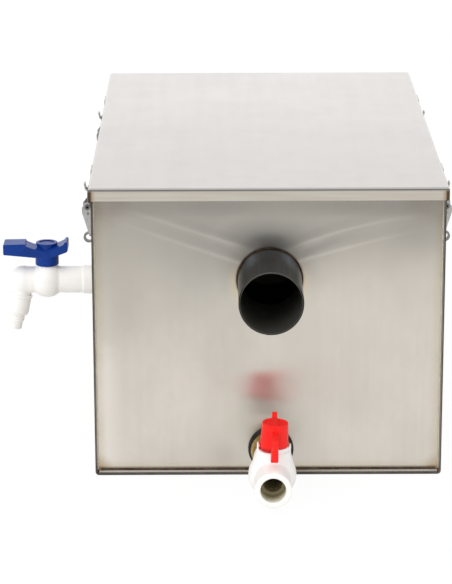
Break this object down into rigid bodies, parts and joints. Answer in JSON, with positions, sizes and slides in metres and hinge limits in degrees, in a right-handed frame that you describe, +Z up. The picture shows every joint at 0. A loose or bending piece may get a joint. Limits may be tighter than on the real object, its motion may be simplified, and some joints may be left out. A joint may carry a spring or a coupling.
{
  "type": "grease trap",
  "caption": "Folded stainless grease trap tank with a clip-on lid, inlet and outlet pipe stubs, strainer basket, oil tap and drain valve.",
  "frame": {"origin": "middle of the tank's flat underside", "axes": "+Z up, -Y the outlet end with the drain valve, +Y the inlet end, -X the wall with the oil tap"},
  "size_m": [0.3701, 0.5888, 0.24],
  "materials": {
    "tank_steel": "brushed upright, with straw heat tint at the welds",
    "lid_steel": "brushed",
    "pipe_steel": "mill finish",
    "inner_steel": "mill finish",
    "latch_steel": "pressed",
    "latch_wire": "drawn",
    "rubber": "matt",
    "brass": "turned",
    "white_plastic": "moulded",
    "seat_plastic": "turned",
    "red_plastic": "moulded",
    "blue_plastic": "moulded"
  },
  "bodies": {
    "tank": {"shell": "tank_steel", "outlet_panel": "tank_steel", "inlet_panel": "tank_steel", "outlet_pipe": "pipe_steel", "inlet_pipe": "pipe_steel", "lid": "lid_steel", "lid_gasket": "rubber", "outlet_baffle": "inner_steel", "inlet_baffle": "inner_steel", "outlet_elbow": "pipe_steel", "basket_rails": "inner_steel", "strainer_basket": "inner_steel", "basket_handle": "inner_steel", "latch_base_fl": "latch_steel", "latch_strike_fl": "latch_steel", "latch_base_fr": "latch_steel", "latch_strike_fr": "latch_steel", "latch_base_rl": "latch_steel", "latch_strike_rl": "latch_steel", "latch_base_rr": "latch_steel", "latch_strike_rr": "latch_steel", "latch_rivets": "latch_wire", "drain_washer": "rubber", "drain_nipple": "brass", "drain_locknut": "brass", "drain_valve_body": "white_plastic", "drain_seats": "seat_plastic", "tap_washer": "rubber", "tap_locknut": "white_plastic", "tap_body": "white_plastic", "tap_seats": "seat_plastic", "tap_spout_nut": "white_plastic", "tap_nozzle": "white_plastic"},
    "drain_turn": {"drain_ball": "white_plastic", "drain_stem": "white_plastic", "drain_stem_ring": "rubber", "drain_handle": "red_plastic"},
    "tap_turn": {"tap_ball": "white_plastic", "tap_stem": "white_plastic", "tap_stem_ring": "rubber", "tap_handle": "blue_plastic", "tap_handle_cap": "blue_plastic"},
    "lever_fl": {"latch_lever_fl": "latch_steel"},
    "bail_fl": {"latch_bail_fl": "latch_wire"},
    "lever_fr": {"latch_lever_fr": "latch_steel"},
    "bail_fr": {"latch_bail_fr": "latch_wire"},
    "lever_rl": {"latch_lever_rl": "latch_steel"},
    "bail_rl": {"latch_bail_rl": "latch_wire"},
    "lever_rr": {"latch_lever_rr": "latch_steel"},
    "bail_rr": {"latch_bail_rr": "latch_wire"}
  },
  "joints": [
    {"name": "drain_valve_turn", "type": "hinge", "parent": "tank", "child": "drain_turn", "pos_m": [0.00361, -0.2723, 0.04726], "axis": [-0.0523, 0, -0.9986], "range_deg": [0, 90]},
    {"name": "oil_tap_turn", "type": "hinge", "parent": "tank", "child": "tap_turn", "pos_m": [-0.1835, -0.102, 0.15], "axis": [0, 0, -1], "range_deg": [0, 90]},
    {"name": "latch_lever_turn_fl", "type": "hinge", "parent": "tank", "child": "lever_fl", "pos_m": [-0.1462, -0.144, 0.207], "axis": [0, 1, 0], "range_deg": [0, 105]},
    {"name": "latch_bail_turn_fl", "type": "hinge", "parent": "lever_fl", "child": "bail_fl", "pos_m": [-0.1457, -0.144, 0.20162], "axis": [0, 1, 0], "range_deg": [-90, 0]},
    {"name": "latch_lever_turn_fr", "type": "hinge", "parent": "tank", "child": "lever_fr", "pos_m": [0.1462, -0.144, 0.207], "axis": [0, -1, 0], "range_deg": [0, 105]},
    {"name": "latch_bail_turn_fr", "type": "hinge", "parent": "lever_fr", "child": "bail_fr", "pos_m": [0.1457, -0.144, 0.20162], "axis": [0, -1, 0], "range_deg": [-90, 0]},
    {"name": "latch_lever_turn_rl", "type": "hinge", "parent": "tank", "child": "lever_rl", "pos_m": [-0.1462, 0.118, 0.207], "axis": [0, 1, 0], "range_deg": [0, 105]},
    {"name": "latch_bail_turn_rl", "type": "hinge", "parent": "lever_rl", "child": "bail_rl", "pos_m": [-0.1457, 0.118, 0.20162], "axis": [0, 1, 0], "range_deg": [-90, 0]},
    {"name": "latch_lever_turn_rr", "type": "hinge", "parent": "tank", "child": "lever_rr", "pos_m": [0.1462, 0.118, 0.207], "axis": [0, -1, 0], "range_deg": [0, 105]},
    {"name": "latch_bail_turn_rr", "type": "hinge", "parent": "lever_rr", "child": "bail_rr", "pos_m": [0.1457, 0.118, 0.20162], "axis": [0, -1, 0], "range_deg": [-90, 0]}
  ],
  "couplings": [
    {"joint": "latch_bail_turn_fl", "follows": "latch_lever_turn_fl", "ratio": -0.81},
    {"joint": "latch_bail_turn_fr", "follows": "latch_lever_turn_fr", "ratio": -0.81},
    {"joint": "latch_bail_turn_rl", "follows": "latch_lever_turn_rl", "ratio": -0.81},
    {"joint": "latch_bail_turn_rr", "follows": "latch_lever_turn_rr", "ratio": -0.81}
  ]
}
